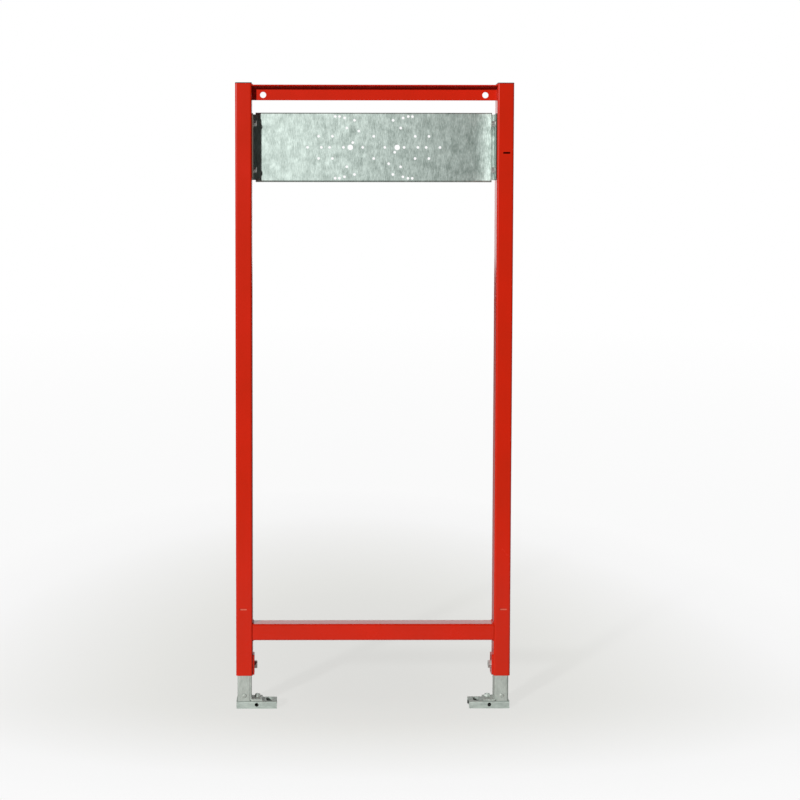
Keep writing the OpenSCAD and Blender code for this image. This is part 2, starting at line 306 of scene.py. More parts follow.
@dataclass(frozen=True)
class Galvanized(Finish):
    """Zinc sheet: crystals drawn out along the rolling direction, on rough metal."""

    dark: Colour = (0.265, 0.322, 0.292, 1.0)
    light: Colour = (0.60, 0.682, 0.64, 1.0)
    metallic: float = 1.0
    grain: tuple[float, float, float] = (1.0, 1.0, 0.25)
    streak_scale: float = 540.0
    streak_depth: float = 0.02 * MM
    spangle_scale: float = 240.0
    cloud_scale: float = 60.0
    weights: tuple[float, float, float] = (0.52, 0.12, 0.36)
    tone_range: tuple[float, float] = (0.31, 0.69)
    roughness: tuple[float, float] = (0.42, 0.50)

    def nodes(self, graph: Graph) -> Node:
        """Streaks, spangle cells and clouds set the tone, and the streaks roughen the surface.

        Args:
            graph: Node tree of the material.

        Returns:
            The shader.
        """
        spot = graph.place(self.grain)
        streaks = graph.noise(spot, self.streak_scale, detail=3.0, roughness=0.6)
        clouds = graph.noise(graph.place(), self.cloud_scale, detail=4.0, roughness=0.6)
        cells = graph.add(
            "TexVoronoi", {"Vector": spot, "Scale": self.spangle_scale}, feature="SMOOTH_F1")
        cell = graph.add("SeparateColor", {"Color": cells.outputs["Color"]}).outputs[0]
        layers = [graph.math("MULTIPLY", layer, weight)
                  for layer, weight in zip((streaks, cell, clouds), self.weights)]
        tone = graph.math("ADD", graph.math("ADD", layers[0], layers[1]), layers[2])
        tone = graph.span(tone, 0.0, 1.0, *self.tone_range)
        return graph.add("BsdfPrincipled", {
            "Base Color": self.colour(graph, tone),
            "Metallic": self.metallic,
            "Roughness": graph.span(tone, self.roughness[1], self.roughness[0]),
            "Normal": graph.bump(streaks, self.streak_depth, under=self.form(graph)),
        })

    def colour(self, graph: Graph, tone: Socket) -> Socket:
        """Zinc from dark to light."""
        return graph.ramp(tone, ((0.0, self.dark), (1.0, self.light)))

    def form(self, graph: Graph) -> Socket | None:
        """Broad unevenness of the sheet, where it has any."""
        return None


@dataclass(frozen=True)
class PlateZinc(Galvanized):
    """Zinc of the mounting plate, which bows a little and curls next to its right bend."""

    roughness: tuple[float, float] = (0.60, 0.66)
    bow: tuple[float, float, float] = (0.040, -0.47, -0.95)
    curl: float = 12.2
    curl_from: float = 0.185
    curl_w: float = 27 * MM
    spread: tuple[float, float] = (0.8, 1.35)
    spread_x: tuple[float, float] = (-0.15, 0.15)
    stain_at: tuple[float, float, float] = (-0.038, 0.013, -0.0655)
    stain_size: tuple[float, float, float] = (0.007, 0.02, 0.015)
    stain_edge: tuple[float, float] = (0.75, 1.15)
    stain_depth: float = 0.28
    cut_depth: float = 0.4 * MM
    bare: Colour = (0.13, 0.09, 0.07, 1.0)

    def colour(self, graph: Graph, tone: Socket) -> Socket:
        """Zinc with a soft oval stain, bare where the end flanges were cut.

        Args:
            graph: Node tree of the material.
            tone: Tone of the pattern, whose contrast grows from left to right.

        Returns:
            The colour socket.
        """
        spot = graph.place([1 / size for size in self.stain_size], self.stain_at)
        reach = graph.add("VectorMath", {0: spot}, operation="LENGTH").outputs["Value"]
        stain = graph.span(reach, self.stain_depth, 0.0, *self.stain_edge)
        way = graph.xyz()
        spread = graph.span(way["X"], *self.spread, *self.spread_x)
        tone = graph.math("MULTIPLY", graph.math("SUBTRACT", tone, 0.5), spread)
        tone = graph.math("ADD", tone, 0.5)
        zinc = super().colour(graph, graph.math("SUBTRACT", tone, stain))
        low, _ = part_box("mounting_plate")
        cut = graph.math("LESS_THAN", way["Y"], low.y + self.cut_depth)
        return graph.blend(cut, zinc, self.bare)

    def form(self, graph: Graph) -> Socket:
        """Height of the bow, whose slope is a curve of the second degree, and of the curl.

        Args:
            graph: Node tree of the material.

        Returns:
            The normal socket.
        """
        across = graph.xyz()["X"]
        past = graph.math("MAXIMUM", graph.math("SUBTRACT", across, self.curl_from), 0.0)
        past = graph.math("MINIMUM", past, self.curl_w)
        height = graph.math("MULTIPLY", graph.math("POWER", past, 2.0), self.curl / 2)
        power = across
        for degree, slope in enumerate(self.bow, 1):
            height = graph.math("ADD", height, graph.math("MULTIPLY", power, slope / degree))
            power = graph.math("MULTIPLY", power, across)
        return graph.bump(height, depth=1.0, strength=1.0)


@dataclass(frozen=True)
class LegZinc(Galvanized):
    """Zinc of a leg, with painted red bounce light where the post's slot shows its front."""

    slot_out: float = 2 * MM
    slot_up: float = 121.7 * MM
    red_bounce_size: tuple[float, float] = (13.5 * MM, 4.5 * MM)
    red_bounce_share: float = 0.95
    red_bounce_fade: float = 1 * MM
    red_bounce: Colour = (0.74, 0.12, 0.065, 1.0)

    def colour(self, graph: Graph, tone: Socket) -> Socket:
        """Zinc with painted red bounce light in the slot's shape, with a soft edge.

        Args:
            graph: Node tree of the material.
            tone: Tone of the pattern.

        Returns:
            The colour socket.
        """
        way = graph.xyz()
        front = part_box("leg_channel_left")[0].y
        share = graph.span(way["Y"], self.red_bounce_share, 0.0, front + 0.2 * MM, front + 0.4 * MM)
        slot_x = centre_of("post_right").x + self.slot_out
        slot_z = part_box("post_right")[0].z + self.slot_up
        spots = ((graph.math("ABSOLUTE", way["X"]), slot_x), (way["Z"], slot_z))
        for (spot, middle), size in zip(spots, self.red_bounce_size):
            off = graph.math("ABSOLUTE", graph.math("SUBTRACT", spot, middle))
            inside = graph.span(off, 1.0, 0.0, size / 2, size / 2 + self.red_bounce_fade)
            share = graph.math("MULTIPLY", share, inside)
        # Painted light: red light bounced from the post's inner walls, coloured onto the zinc.
        return graph.blend(share, super().colour(graph, tone), self.red_bounce)


@dataclass(frozen=True)
class FootZinc(Galvanized):
    """Zinc of a foot, with painted dark shade inside the fold."""

    skin: float = 1.2 * MM
    inner_shade_h: float = 7 * MM
    inner_shade: Colour = (0.05, 0.055, 0.05, 1.0)

    def colour(self, graph: Graph, tone: Socket) -> Socket:
        """Zinc outside, painted dark shade inside the fold.

        Args:
            graph: Node tree of the material.
            tone: Tone of the pattern.

        Returns:
            The colour socket.
        """
        way = graph.xyz()
        low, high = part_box("foot_left")
        behind = graph.math("GREATER_THAN", way["Y"], low.y + self.skin)
        before = graph.math("LESS_THAN", way["Y"], high.y - self.skin)
        under = graph.math("LESS_THAN", way["Z"], low.z + self.inner_shade_h)
        # Painted shade: the inner faces of the fold, low down, get a dark colour.
        inside = graph.math("MULTIPLY", graph.math("MULTIPLY", behind, before), under)
        return graph.blend(inside, super().colour(graph, tone), self.inner_shade)


@dataclass(frozen=True)
class PlatedSteel(Finish):
    """Zinc-plated fastener steel with a faint cloudy passivation."""

    dark: Colour = (0.45, 0.455, 0.43, 1.0)
    light: Colour = (0.74, 0.74, 0.70, 1.0)
    metallic: float = 0.8
    roughness: tuple[float, float] = (0.42, 0.54)
    cloud_scale: float = 260.0
    grain_scale: float = 2200.0
    grain_depth: float = 0.02 * MM

    def nodes(self, graph: Graph) -> Node:
        """Clouds and fine grain vary the tone and the gloss.

        Args:
            graph: Node tree of the material.

        Returns:
            The shader.
        """
        spot = graph.place()
        clouds = graph.noise(spot, self.cloud_scale, detail=4.0)
        grain = graph.noise(spot, self.grain_scale, detail=2.0)
        tone = graph.span(clouds, 0.0, 1.0, *NOISE_RANGE)
        return graph.add("BsdfPrincipled", {
            "Base Color": graph.ramp(tone, ((0.0, self.dark), (1.0, self.light))),
            "Metallic": self.metallic,
            "Roughness": graph.span(clouds, *self.roughness, *NOISE_RANGE),
            "Normal": graph.bump(grain, self.grain_depth),
        })


@dataclass(frozen=True)
class MouldedPlastic(Finish):
    """Dark moulded plastic with a fine eroded texture."""

    dark: Colour = (0.010, 0.010, 0.011, 1.0)
    light: Colour = (0.024, 0.023, 0.024, 1.0)
    roughness: tuple[float, float] = (0.38, 0.55)
    cloud_scale: float = 60.0
    grain_scale: float = 1500.0
    grain_depth: float = 0.03 * MM

    def nodes(self, graph: Graph) -> Node:
        """Fine grain varies the tone, the gloss and the surface.

        Args:
            graph: Node tree of the material.

        Returns:
            The shader.
        """
        spot = graph.place()
        grain = graph.noise(spot, self.grain_scale, detail=3.0)
        clouds = graph.noise(spot, self.cloud_scale)
        return graph.add("BsdfPrincipled", {
            "Base Color": graph.ramp(clouds, tuple(zip(NOISE_RANGE, (self.dark, self.light)))),
            "Roughness": graph.span(grain, *self.roughness, *NOISE_RANGE),
            "Normal": graph.bump(grain, self.grain_depth),
        })


RED_COAT = PowderCoat("red_powder_coat")
PLATE_ZINC = PlateZinc("galvanized_plate")
LEG_ZINC = LegZinc(
    "galvanized_leg", dark=(0.31, 0.345, 0.31, 1.0), light=(0.555, 0.60, 0.55, 1.0),
    metallic=0.35, roughness=(0.50, 0.60))
FOOT_ZINC = FootZinc(
    "galvanized_foot", dark=(0.29, 0.335, 0.305, 1.0), light=(0.54, 0.61, 0.555, 1.0),
    metallic=0.35, grain=(0.25, 1.0, 1.0), roughness=(0.52, 0.62))
BOLT_ZINC = PlatedSteel("plated_fastener")
NUT_ZINC = PlatedSteel(
    "plated_nut", dark=(0.48, 0.53, 0.49, 1.0), light=(0.74, 0.80, 0.75, 1.0),
    metallic=0.5, roughness=(0.45, 0.60))
CAP_PLASTIC = MouldedPlastic("cap_plastic")


def dress(piece: Piece, finish: Finish) -> None:
    """Gives a piece one finish all over."""
    piece.data.materials.clear()
    piece.data.materials.append(finish.material())


def activate(*pieces: Piece) -> None:
    """Selects only these pieces and makes the first one active.

    Args:
        pieces: Objects that the next operator works on.
    """
    bpy.ops.object.select_all(action="DESELECT")
    for piece in pieces:
        piece.select_set(True)
    bpy.context.view_layer.objects.active = pieces[0]


def join(pieces: Sequence[Piece]) -> Piece:
    """Joins several pieces to the first one.

    Args:
        pieces: Mesh objects in the same place space.

    Returns:
        The joined object.
    """
    activate(*pieces)
    bpy.ops.object.join()
    return pieces[0]


def pick_faces(piece: Piece, test: Callable[[bmesh.types.BMFace], bool]) -> None:
    """Selects, in edit mode, the faces for which a test holds.

    Args:
        piece: Object that is in edit mode.
        test: Says whether a face is wanted.
    """
    mesh = bmesh.from_edit_mesh(piece.data)
    for part in (*mesh.verts, *mesh.edges, *mesh.faces):
        part.select_set(False)
    for face in mesh.faces:
        if test(face):
            face.select_set(True)
    bmesh.update_edit_mesh(piece.data)


def is_top(face: bmesh.types.BMFace) -> bool:
    """True for a face that looks straight up its own Z axis."""
    return face.normal.z > 0.99


def extrude_up(step: float, scale: float = 1.0) -> None:
    """Extrudes the selected face along Z, then scales it about the Z axis.

    Args:
        step: Height of the extrusion.
        scale: Factor on the width of the new face.
    """
    bpy.ops.mesh.extrude_region_move(TRANSFORM_OT_translate={"value": (0, 0, step)})
    if scale != 1.0:
        bpy.ops.transform.resize(value=(scale, scale, 1), center_override=(0, 0, 0))


def combine(piece: Piece, tool: Piece, operation: str) -> None:
    """Applies a boolean of one piece with another, which is then removed.

    Args:
        piece: Object that keeps the result.
        tool: Object that cuts or limits it.
        operation: INTERSECT, UNION or DIFFERENCE.
    """
    activate(piece)
    modifier = piece.modifiers.new("combine", "BOOLEAN")
    modifier.operation = operation
    modifier.solver = "EXACT"
    modifier.object = tool
    bpy.ops.object.modifier_apply(modifier=modifier.name)
    bpy.data.objects.remove(tool)


def tidy(piece: Piece, smooth_angle: float = 35.0, merge: float = 0.002 * MM) -> None:
    """Merges doubles, turns the faces outwards and smooths round surfaces.

    Args:
        piece: Object to clean up.
        smooth_angle: Edges sharper than this, in degrees, stay sharp.
        merge: Distance under which vertices are doubles.
    """
    activate(piece)
    bpy.ops.object.mode_set(mode="EDIT")
    bpy.ops.mesh.select_all(action="SELECT")
    bpy.ops.mesh.remove_doubles(threshold=merge)
    bpy.ops.mesh.normals_make_consistent(inside=False)
    bpy.ops.object.mode_set(mode="OBJECT")
    bpy.ops.object.shade_smooth_by_angle(angle=math.radians(smooth_angle))


def put(piece: Piece, place: Vector, turn: Euler | None = None) -> Piece:
    """Turns and moves a piece that was modelled about the origin, and applies that.

    Args:
        piece: Object to place.
        place: Where its origin goes.
        turn: How it is turned first.

    Returns:
        The same object.
    """
    activate(piece)
    bpy.ops.object.transform_apply(location=True, rotation=True, scale=True)
    piece.rotation_euler = turn or Euler((0, 0, 0))
    piece.location = place
    bpy.ops.object.transform_apply(location=True, rotation=True, scale=True)
    return piece


def twin(piece: Piece) -> Piece:
    """Copies a piece, with a mesh of its own.

    Args:
        piece: Object to copy.

    Returns:
        The copy.
    """
    copy = piece.copy()
    copy.data = piece.data.copy()
    bpy.context.scene.collection.objects.link(copy)
    return copy


def mount(
        piece: Piece, name: str, body: str, finish: Finish,
        replaces: str = "") -> None:
    """Names and dresses a finished piece and makes it ride on its body.

    Args:
        piece: Finished object, in place.
        name: Name of the piece.
        body: Body that carries it.
        finish: Its finish.
        replaces: Node that it stands for, if any.
    """
    piece.name = name
    piece.data.name = name
    dress(piece, finish)
    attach(piece, body)
    if replaces:
        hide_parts(replaces)
    log.info("%s: %d faces on %s", name, len(piece.data.polygons), body)


def centre_of(node: str) -> Vector:
    """Middle of a node's box."""
    low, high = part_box(node)
    return (low + high) / 2


def outer_x(node: str, side: Side) -> float:
    """Place along X of a node's end that looks away from the frame's middle."""
    low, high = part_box(node)
    return high.x if side is Side.RIGHT else low.x


@dataclass
class Thread:
    """Screw thread along +Z: a core with one helical ridge wound round it."""

    diameter: float
    pitch: float
    length: float
    steps: int = 20
    depth_share: float = 0.6
    root_sink: float = 0.1
    ridge_half: float = 0.48
    end_inset: float = 0.8

    def build(self) -> Piece:
        """Models the thread with its lower end at the origin.

        Returns:
            The threaded rod.
        """
        depth = self.depth_share * self.pitch
        core_r = self.diameter / 2 - depth
        bpy.ops.mesh.primitive_cylinder_add(
            vertices=self.steps, radius=core_r, depth=self.length,
            location=(0, 0, self.length / 2))
        core = bpy.context.object
        bpy.ops.object.mode_set(mode="EDIT")
        pick_faces(core, is_top)
        extrude_up(0.0, self.end_inset)
        bpy.ops.object.mode_set(mode="OBJECT")
        return join([core, self.ridge(core_r, depth)])

    def ridge(self, core_r: float, depth: float) -> Piece:
        """Winds a pointed ridge round the core.

        Args:
            core_r: Radius of the core.
            depth: Height of the ridge over the core.

        Returns:
            The ridge, closed at both ends.
        """
        turns = int(self.length / self.pitch) - 1
        root = core_r - self.root_sink * depth
        bpy.ops.mesh.primitive_circle_add(
            vertices=3, radius=0.5 * self.pitch, fill_type="NOTHING")
        ridge = bpy.context.object
        corners = ((root, self.ridge_half), (self.diameter / 2, 0.0), (root, -self.ridge_half))
        for vertex, (radius, height) in zip(ridge.data.vertices, corners):
            vertex.co = (radius, 0, (height + 0.5) * self.pitch)
        screw = ridge.modifiers.new("wind", "SCREW")
        screw.axis = "Z"
        screw.screw_offset = self.pitch
        screw.iterations = turns
        screw.steps = screw.render_steps = self.steps
        screw.use_normal_calculate = True
        activate(ridge)
        bpy.ops.object.modifier_apply(modifier=screw.name)
        bpy.ops.object.mode_set(mode="EDIT")
        bpy.ops.mesh.select_all(action="SELECT")
        bpy.ops.mesh.fill_holes(sides=3)
        bpy.ops.object.mode_set(mode="OBJECT")
        return ridge


@dataclass
class HexHead:
    """Hexagon head along +Z with turned-down corners and a shallow dished top."""

    flats: float
    height: float
    both_ends: bool = False
    chamfer_r: float = 0.48
    chamfer_angle: float = 30.0
    dish: float = 0.35 * MM
    dish_r: tuple[float, float] = (0.26, 0.34)

    def build(self) -> Piece:
        """Models the head with its underside at the origin.

        Returns:
            The head.
        """
        bpy.ops.mesh.primitive_cylinder_add(
            vertices=6, radius=self.flats / math.sqrt(3), depth=self.height,
            location=(0, 0, self.height / 2))
        head = bpy.context.object
        combine(head, self.cone(upward=True), "INTERSECT")
        if self.both_ends:
            combine(head, self.cone(upward=False), "INTERSECT")
        else:
            self.dish_top(head)
        return head

    def cone(self, upward: bool) -> Piece:
        """Cone that takes the corners off at one end.

        Args:
            upward: True for the top end.

        Returns:
            The cone.
        """
        narrow = self.chamfer_r * self.flats
        wide = narrow + self.height / math.tan(math.radians(self.chamfer_angle))
        radii = (wide, narrow) if upward else (narrow, wide)
        bpy.ops.mesh.primitive_cone_add(
            vertices=ROUND, radius1=radii[0], radius2=radii[1], depth=self.height,
            location=(0, 0, self.height / 2))
        return bpy.context.object

    def dish_top(self, head: Piece) -> None:
        """Presses a shallow round dish into the top.

        Args:
            head: Head that gets the dish.
        """
        bottom_r, rim_r = (share * self.flats for share in self.dish_r)
        bpy.ops.mesh.primitive_cone_add(
            vertices=ROUND, radius1=bottom_r, radius2=rim_r, depth=2 * self.dish,
            location=(0, 0, self.height))
        combine(head, bpy.context.object, "DIFFERENCE")


@dataclass
class Screw:
    """Hexagon screw along -Z under its head, with an optional round flange."""

    diameter: float
    pitch: float
    length: float
    head: HexHead
    flange_d: float = 0.0
    flange_h: float = 0.0
    rim_share: float = 0.4
    flange_rings: tuple[tuple[float, float], ...] = ((0.12, 0.965), (0.48, 0.82))

    def build(self) -> Piece:
        """Models the screw with the seat of its head at the origin.

        Returns:
            The screw.
        """
        parts = [put(self.head.build(), Vector((0, 0, self.flange_h)))]
        shank = Thread(self.diameter, self.pitch, self.length).build()
        parts.append(put(shank, Vector((0, 0, 0)), Euler((math.pi, 0, 0))))
        if self.flange_d:
            parts.append(self.flange())
        screw = join(parts)
        tidy(screw)
        return screw

    def flange(self) -> Piece:
        """Round flange that slopes up to the head.

        Returns:
            The flange.
        """
        rim = self.rim_share * self.flange_h
        bpy.ops.mesh.primitive_cylinder_add(
            vertices=ROUND, radius=self.flange_d / 2, depth=rim, location=(0, 0, rim / 2))
        flange = bpy.context.object
        bpy.ops.object.mode_set(mode="EDIT")
        pick_faces(flange, is_top)
        for share, scale in self.flange_rings:
            extrude_up(share * self.flange_h, scale)
        bpy.ops.object.mode_set(mode="OBJECT")
        return flange


def set_screw(pattern: Piece, screw: Screw, node: str, side: Side, name: str) -> None:
    """Copies a screw to where a node is, pointing away from the frame's middle.

    Args:
        pattern: Screw that was modelled about the origin.
        screw: Its sizes.
        node: Node that the copy stands for, whose tip it shares.
        side: Side of the frame that it is screwed into.
        name: Name of the new piece.
    """
    seat = centre_of(node)
    seat.x = outer_x(node, side) - side.sign * screw.length
    piece = put(twin(pattern), seat, Euler((0, -side.sign * QUARTER_TURN, 0)))
    mount(piece, name, FRAME_BODY, BOLT_ZINC, node)


@dataclass
class WeldBead:
    """Rippled bead between two points, half sunk into the corner that it fills.

    Its rings are pairs: the way along the bead to the ring, as a share of one
    ripple, and the factor on the width there.
    """

    start: Vector
    end: Vector
    radius: float = 1.8 * MM
    ripple: float = 1.7 * MM
    corners: int = 12
    tip_share: float = 0.45
    first: tuple[float, float] = (0.3, 1.9)
    pulse: tuple[tuple[float, float], ...] = (
        (0.35, 1.0 / 0.855), (0.25, 0.98), (0.40, 0.855 / 0.98))
    last: tuple[tuple[float, float], ...] = ((0.5, 1.1), (0.2, 0.5))

    def build(self) -> Piece:
        """Models the bead as a row of overlapping pulses.

        Returns:
            The bead.
        """
        along = self.end - self.start
        pulses = max(2, round(along.length / self.ripple))
        step = along.length / pulses
        bpy.ops.mesh.primitive_circle_add(
            vertices=self.corners, radius=self.tip_share * self.radius, fill_type="NGON")
        bead = bpy.context.object
        bpy.ops.object.mode_set(mode="EDIT")
        bpy.ops.mesh.select_all(action="SELECT")
        for share, scale in (self.first, *self.pulse * (pulses - 1), *self.last):
            extrude_up(share * step, scale)
        bpy.ops.object.mode_set(mode="OBJECT")
        tidy(bead, smooth_angle=60.0)
        turn = along.to_track_quat("Z", "X").to_euler()
        return put(bead, self.start, turn)


def bead_run(
        corner: Vector, reach: Vector, sink: Vector,
        radius: float = WeldBead.radius) -> WeldBead:
    """Bead centred on a corner line.

    Args:
        corner: Middle of the corner line.
        reach: Half of the bead's run.
        sink: How far the bead's axis stands off the corner.
        radius: Radius of the bead.

    Returns:
        The bead.
    """
    return WeldBead(corner + sink - reach, corner + sink + reach, radius)


@dataclass
class WeldedFrame:
    """Red weldment: posts, rails and clamp plates, with its weld beads and end caps.

    A reach is half the run of a bead, as a share of the edge that it follows.
    """

    finish: PowderCoat = RED_COAT
    stand_off: float = 0.5 * MM
    rail_reach: float = 0.36
    behind_in: float = 1.9 * MM
    web_reach: float = 0.4
    web_out: float = 0.2 * MM
    flange_reach: float = 0.38
    thin_bead: float = 1.2 * MM
    plate_side_reach: float = 0.34
    plate_top_reach: float = 0.3
    cap_edge: float = 0.6 * MM
    cap_merge: float = 0.005 * MM

    def build(self) -> None:
        """Dresses the red pieces, then adds the beads and the caps."""
        for node in ("top_rail", "bottom_rail"):
            dress(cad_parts[node], self.finish)
        for side in Side:
            for kind in ("post", "clamp_plate"):
                dress(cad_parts[f"{kind}_{side.value}"], self.finish)
            self.weld("bottom_rail", side, self.bottom_rail_beads(side))
            self.weld("top_rail", side, self.top_rail_beads(side))
            self.weld("clamp_plate", side, self.clamp_plate_beads(side))
            self.cap(side)

    def weld(self, joint: str, side: Side, beads: Iterable[WeldBead]) -> None:
        """Builds the beads of one joint as one piece."""
        piece = join([bead.build() for bead in beads])
        mount(piece, f"weld_{joint}_{side.value}", FRAME_BODY, self.finish)

    def bottom_rail_beads(self, side: Side) -> list[WeldBead]:
        """Beads over, under and behind one end of the bottom rail.

        Args:
            side: End of the rail.

        Returns:
            The beads.
        """
        low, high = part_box("bottom_rail")
        end = side.sign * high.x
        off = self.stand_off
        middle = (low.y + high.y) / 2
        run = Vector((0, self.rail_reach * (high.y - low.y), 0))
        inward = -side.sign * off
        beads = [bead_run(Vector((end, middle, z)), run, Vector((inward, 0, out)))
                 for z, out in ((high.z, off), (low.z, -off))]
        behind = Vector((end, high.y - self.behind_in, (low.z + high.z) / 2))
        rise = Vector((0, 0, self.rail_reach * (high.z - low.z)))
        return [*beads, bead_run(behind, rise, Vector((-inward, 0, 0)))]

    def top_rail_beads(self, side: Side) -> list[WeldBead]:
        """Beads behind the web and on the flange at one end of the top rail.

        Args:
            side: End of the rail.

        Returns:
            The beads.
        """
        low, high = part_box("top_rail")
        end = side.sign * (high.x - self.stand_off)
        web = Vector((end, high.y, (low.z + high.z) / 2))
        flange = Vector((end, (low.y + high.y) / 2, high.z))
        rise = Vector((0, 0, self.web_reach * (high.z - low.z)))
        run = Vector((0, self.flange_reach * (high.y - low.y), 0))
        return [bead_run(web, rise, Vector((0, self.web_out, 0))),
                bead_run(flange, run, Vector((0, 0, 0)))]

    def clamp_plate_beads(self, side: Side) -> list[WeldBead]:
        """Beads over and along both upright edges of one clamp plate.

        Args:
            side: Post that carries the plate.

        Returns:
            The beads.
        """
        node = f"clamp_plate_{side.value}"
        low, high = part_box(node)
        wall = outer_x(node, side) - side.sign * self.stand_off
        middle = (low.z + high.z) / 2
        rise = Vector((0, 0, self.plate_side_reach * (high.z - low.z)))
        run = Vector((0, self.plate_top_reach * (high.y - low.y), 0))
        still = Vector((0, 0, 0))
        over = Vector((wall, (low.y + high.y) / 2, high.z))
        return [bead_run(over, run, still, self.thin_bead),
                *(bead_run(Vector((wall, y, middle)), rise, still, self.thin_bead)
                  for y in (low.y, high.y))]

    def cap(self, side: Side) -> None:
        """Rounds the rim of one post cap on a merged copy of its solid.

        Args:
            side: Post that the cap closes.
        """
        node = f"post_cap_{side.value}"
        piece = twin(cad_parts[node])
        piece.parent = None
        activate(piece)
        bpy.ops.mesh.customdata_custom_splitnormals_clear()
        bpy.ops.object.mode_set(mode="EDIT")
        bpy.ops.mesh.select_all(action="SELECT")
        bpy.ops.mesh.remove_doubles(threshold=self.cap_merge)
        bpy.ops.mesh.dissolve_limited(angle_limit=math.radians(1))
        bpy.ops.object.mode_set(mode="OBJECT")
        modifier = piece.modifiers.new("rim", "BEVEL")
        modifier.width = self.cap_edge
        modifier.segments = 3
        modifier.angle_limit = math.radians(50)
        bpy.ops.object.modifier_apply(modifier=modifier.name)
        tidy(piece)
        mount(piece, f"cap_{side.value}", FRAME_BODY, CAP_PLASTIC, node)


@dataclass
class MountingPlate:
    """Galvanized plate with its four flange screws."""

    finish: Galvanized = PLATE_ZINC
    screw: Screw = field(default_factory=lambda: Screw(
        diameter=6 * MM, pitch=1 * MM, length=16 * MM, head=HexHead(9.84 * MM, 4.8 * MM),
        flange_d=13.8 * MM, flange_h=1.8 * MM))

    def build(self) -> None:
        """Dresses the plate and sets a screw in each hole of its end flanges."""
        dress(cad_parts["mounting_plate"], self.finish)
        pattern = self.screw.build()
        for side in Side:
            for row in ("upper", "lower"):
                node = f"plate_bolt_{side.value}_{row}"
                name = f"flange_screw_{side.value}_{row}"
                set_screw(pattern, self.screw, node, side, name)
        bpy.data.objects.remove(pattern)


@dataclass
class ClampScrews:
    """Hexagon screws that lock the legs."""

    screw: Screw = field(default_factory=lambda: Screw(
        diameter=8 * MM, pitch=1.25 * MM, length=5.1 * MM, head=HexHead(13.1 * MM, 5.25 * MM)))

    def build(self) -> None:
        """Models one screw and sets it at both posts."""
        pattern = self.screw.build()
        for side in Side:
            node = f"clamp_bolt_{side.value}"
            set_screw(pattern, self.screw, node, side, f"clamp_screw_{side.value}")
        bpy.data.objects.remove(pattern)


@dataclass
class Leg:
    """One sliding leg with its foot, rivets, stud and nut.

    A rivet's rings are pairs: the rise to the ring, as a share of the head's
    height, and the factor on the width there.
    """

    side: Side
    stud_d: float = 6 * MM
    stud_pitch: float = 1 * MM
    nut_flats: float = 9.84 * MM
    rivet_h: float = 0.19
    rivet_shank: float = 5.2 * MM
    shank_share: float = 0.6
    rivet_rings: tuple[tuple[float, float], ...] = (
        (0.10, 1.0), (0.34, 0.94), (0.30, 0.86), (0.18, 0.72))
    mandrel_rings: tuple[tuple[float, float], ...] = ((0.08, 0.5), (-0.5, 0.92))

    def build(self) -> None:
        """Dresses the leg's sheets and models its fasteners."""
        sheets = (("leg_channel", LEG_ZINC), ("leg_bar", LEG_ZINC), ("foot", FOOT_ZINC))
        for kind, finish in sheets:
            dress(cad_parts[f"{kind}_{self.side.value}"], finish)
        self.stud()
        self.nut()
        self.rivets()

    def stud(self) -> None:
        """Threaded stud that stands up through the tab."""
        node = f"foot_stud_{self.side.value}"
        low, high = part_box(node)
        piece = Thread(self.stud_d, self.stud_pitch, high.z - low.z).build()
        tidy(piece)
        self.stand(piece, node, "stud")

    def nut(self) -> None:
        """Chamfered nut, bored for the stud."""
        node = f"foot_nut_{self.side.value}"
        low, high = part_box(node)
        height = high.z - low.z
        piece = HexHead(self.nut_flats, height, both_ends=True).build()
        bpy.ops.mesh.primitive_cylinder_add(
            vertices=SMALL_ROUND, radius=self.stud_d / 2, depth=2 * height,
            location=(0, 0, height / 2))
        combine(piece, bpy.context.object, "DIFFERENCE")
        tidy(piece)
        self.stand(piece, node, "nut")

    def stand(self, piece: Piece, node: str, kind: str) -> None:
        """Stands an upright fastener where its node is.

        Args:
            piece: Fastener with its lower end at the origin.
            node: Node that it stands for.
            kind: Name of the fastener without its side.
        """
        seat = centre_of(node)
        seat.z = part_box(node)[0].z
        put(piece, seat)
        mount(piece, f"{kind}_{self.side.value}", self.side.leg, NUT_ZINC, node)

    def rivets(self) -> None:
        """Front and back rivets with domed heads and sunk mandrels."""
        node = f"foot_rivets_{self.side.value}"
        low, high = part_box(node)
        middle = centre_of(node)
        parts = []
        for y, turn in ((low.y, QUARTER_TURN), (high.y, -QUARTER_TURN)):
            part = self.rivet(high.x - low.x)
            parts.append(put(part, Vector((middle.x, y, middle.z)), Euler((turn, 0, 0))))
        piece = join(parts)
        mount(piece, f"rivets_{self.side.value}", self.side.leg, LEG_ZINC, node)

    def rivet(self, head_d: float) -> Piece:
        """Models one rivet along +Z, with the top of its head at the origin.

        Args:
            head_d: Diameter of the head.

        Returns:
            The rivet.
        """
        head_h = self.rivet_h * head_d
        bpy.ops.mesh.primitive_cylinder_add(
            vertices=SMALL_ROUND, radius=self.shank_share * head_d / 2, depth=self.rivet_shank,
            location=(0, 0, -head_h - self.rivet_shank / 2))
        rivet = bpy.context.object
        bpy.ops.object.mode_set(mode="EDIT")
        pick_faces(rivet, is_top)
        extrude_up(0.0, 1 / self.shank_share)
        for share, scale in (*self.rivet_rings, *self.mandrel_rings):
            extrude_up(share * head_h, scale)
        bpy.ops.object.mode_set(mode="OBJECT")
        tidy(rivet, smooth_angle=40.0)
        return rivet


